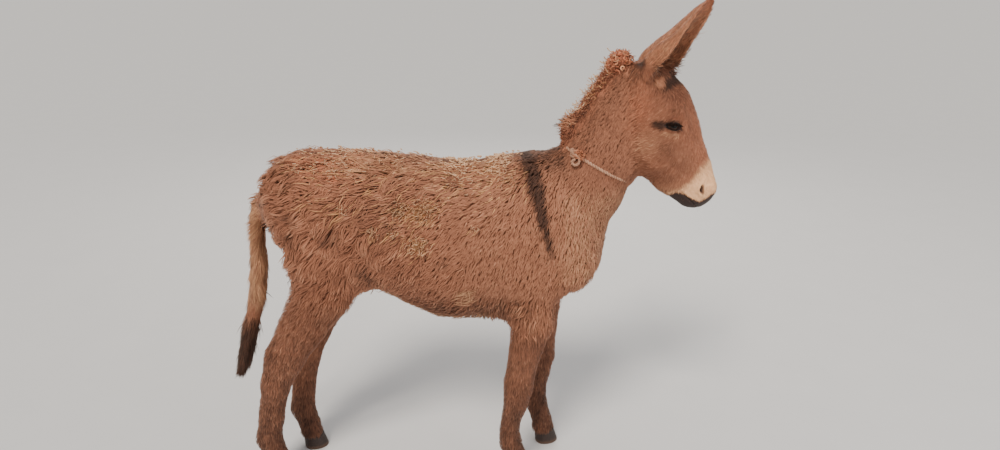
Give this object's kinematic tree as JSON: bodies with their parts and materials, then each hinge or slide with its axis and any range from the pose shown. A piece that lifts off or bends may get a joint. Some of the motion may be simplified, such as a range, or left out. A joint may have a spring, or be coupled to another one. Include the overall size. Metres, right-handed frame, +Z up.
{
  "type": "young donkey figure",
  "caption": "Life-size young donkey standing at ease, head lowered and ears pricked forward, with a shaggy winter coat, an upright mane and a rope collar.",
  "frame": {"origin": "on the floor, below the middle of the bounding box", "axes": "+X towards the nose, +Y towards the animal's left side, +Z up"},
  "size_m": [1.3288, 0.3272, 1.3517],
  "materials": {
    "coat": "woolly winter coat, dun brown",
    "face": "short smooth hair, pale muzzle",
    "legs": "short dense hair, darker than the body",
    "mane": "upright curly hair, rusty brown",
    "tail_end": "long coarse hair, near black",
    "eye": "wet dark brown",
    "hoof": "dull dark horn",
    "rope": "pale twisted twine"
  },
  "bodies": {
    "root": {"head": "face", "neck": "coat", "trunk": "coat", "foreleg_right": "legs", "foreleg_left": "legs", "hindleg_right": "legs", "hindleg_left": "legs", "forehoof_right": "hoof", "forehoof_left": "hoof", "hindhoof_right": "hoof", "hindhoof_left": "hoof", "mane": "mane", "forelock": "mane", "tail": "coat", "tail_tuft": "tail_end", "ear_right": "coat", "ear_left": "coat", "eye_right": "eye", "eye_left": "eye", "collar_rope": "rope", "collar_end": "rope", "collar_knot": "rope"}
  },
  "joints": []
}
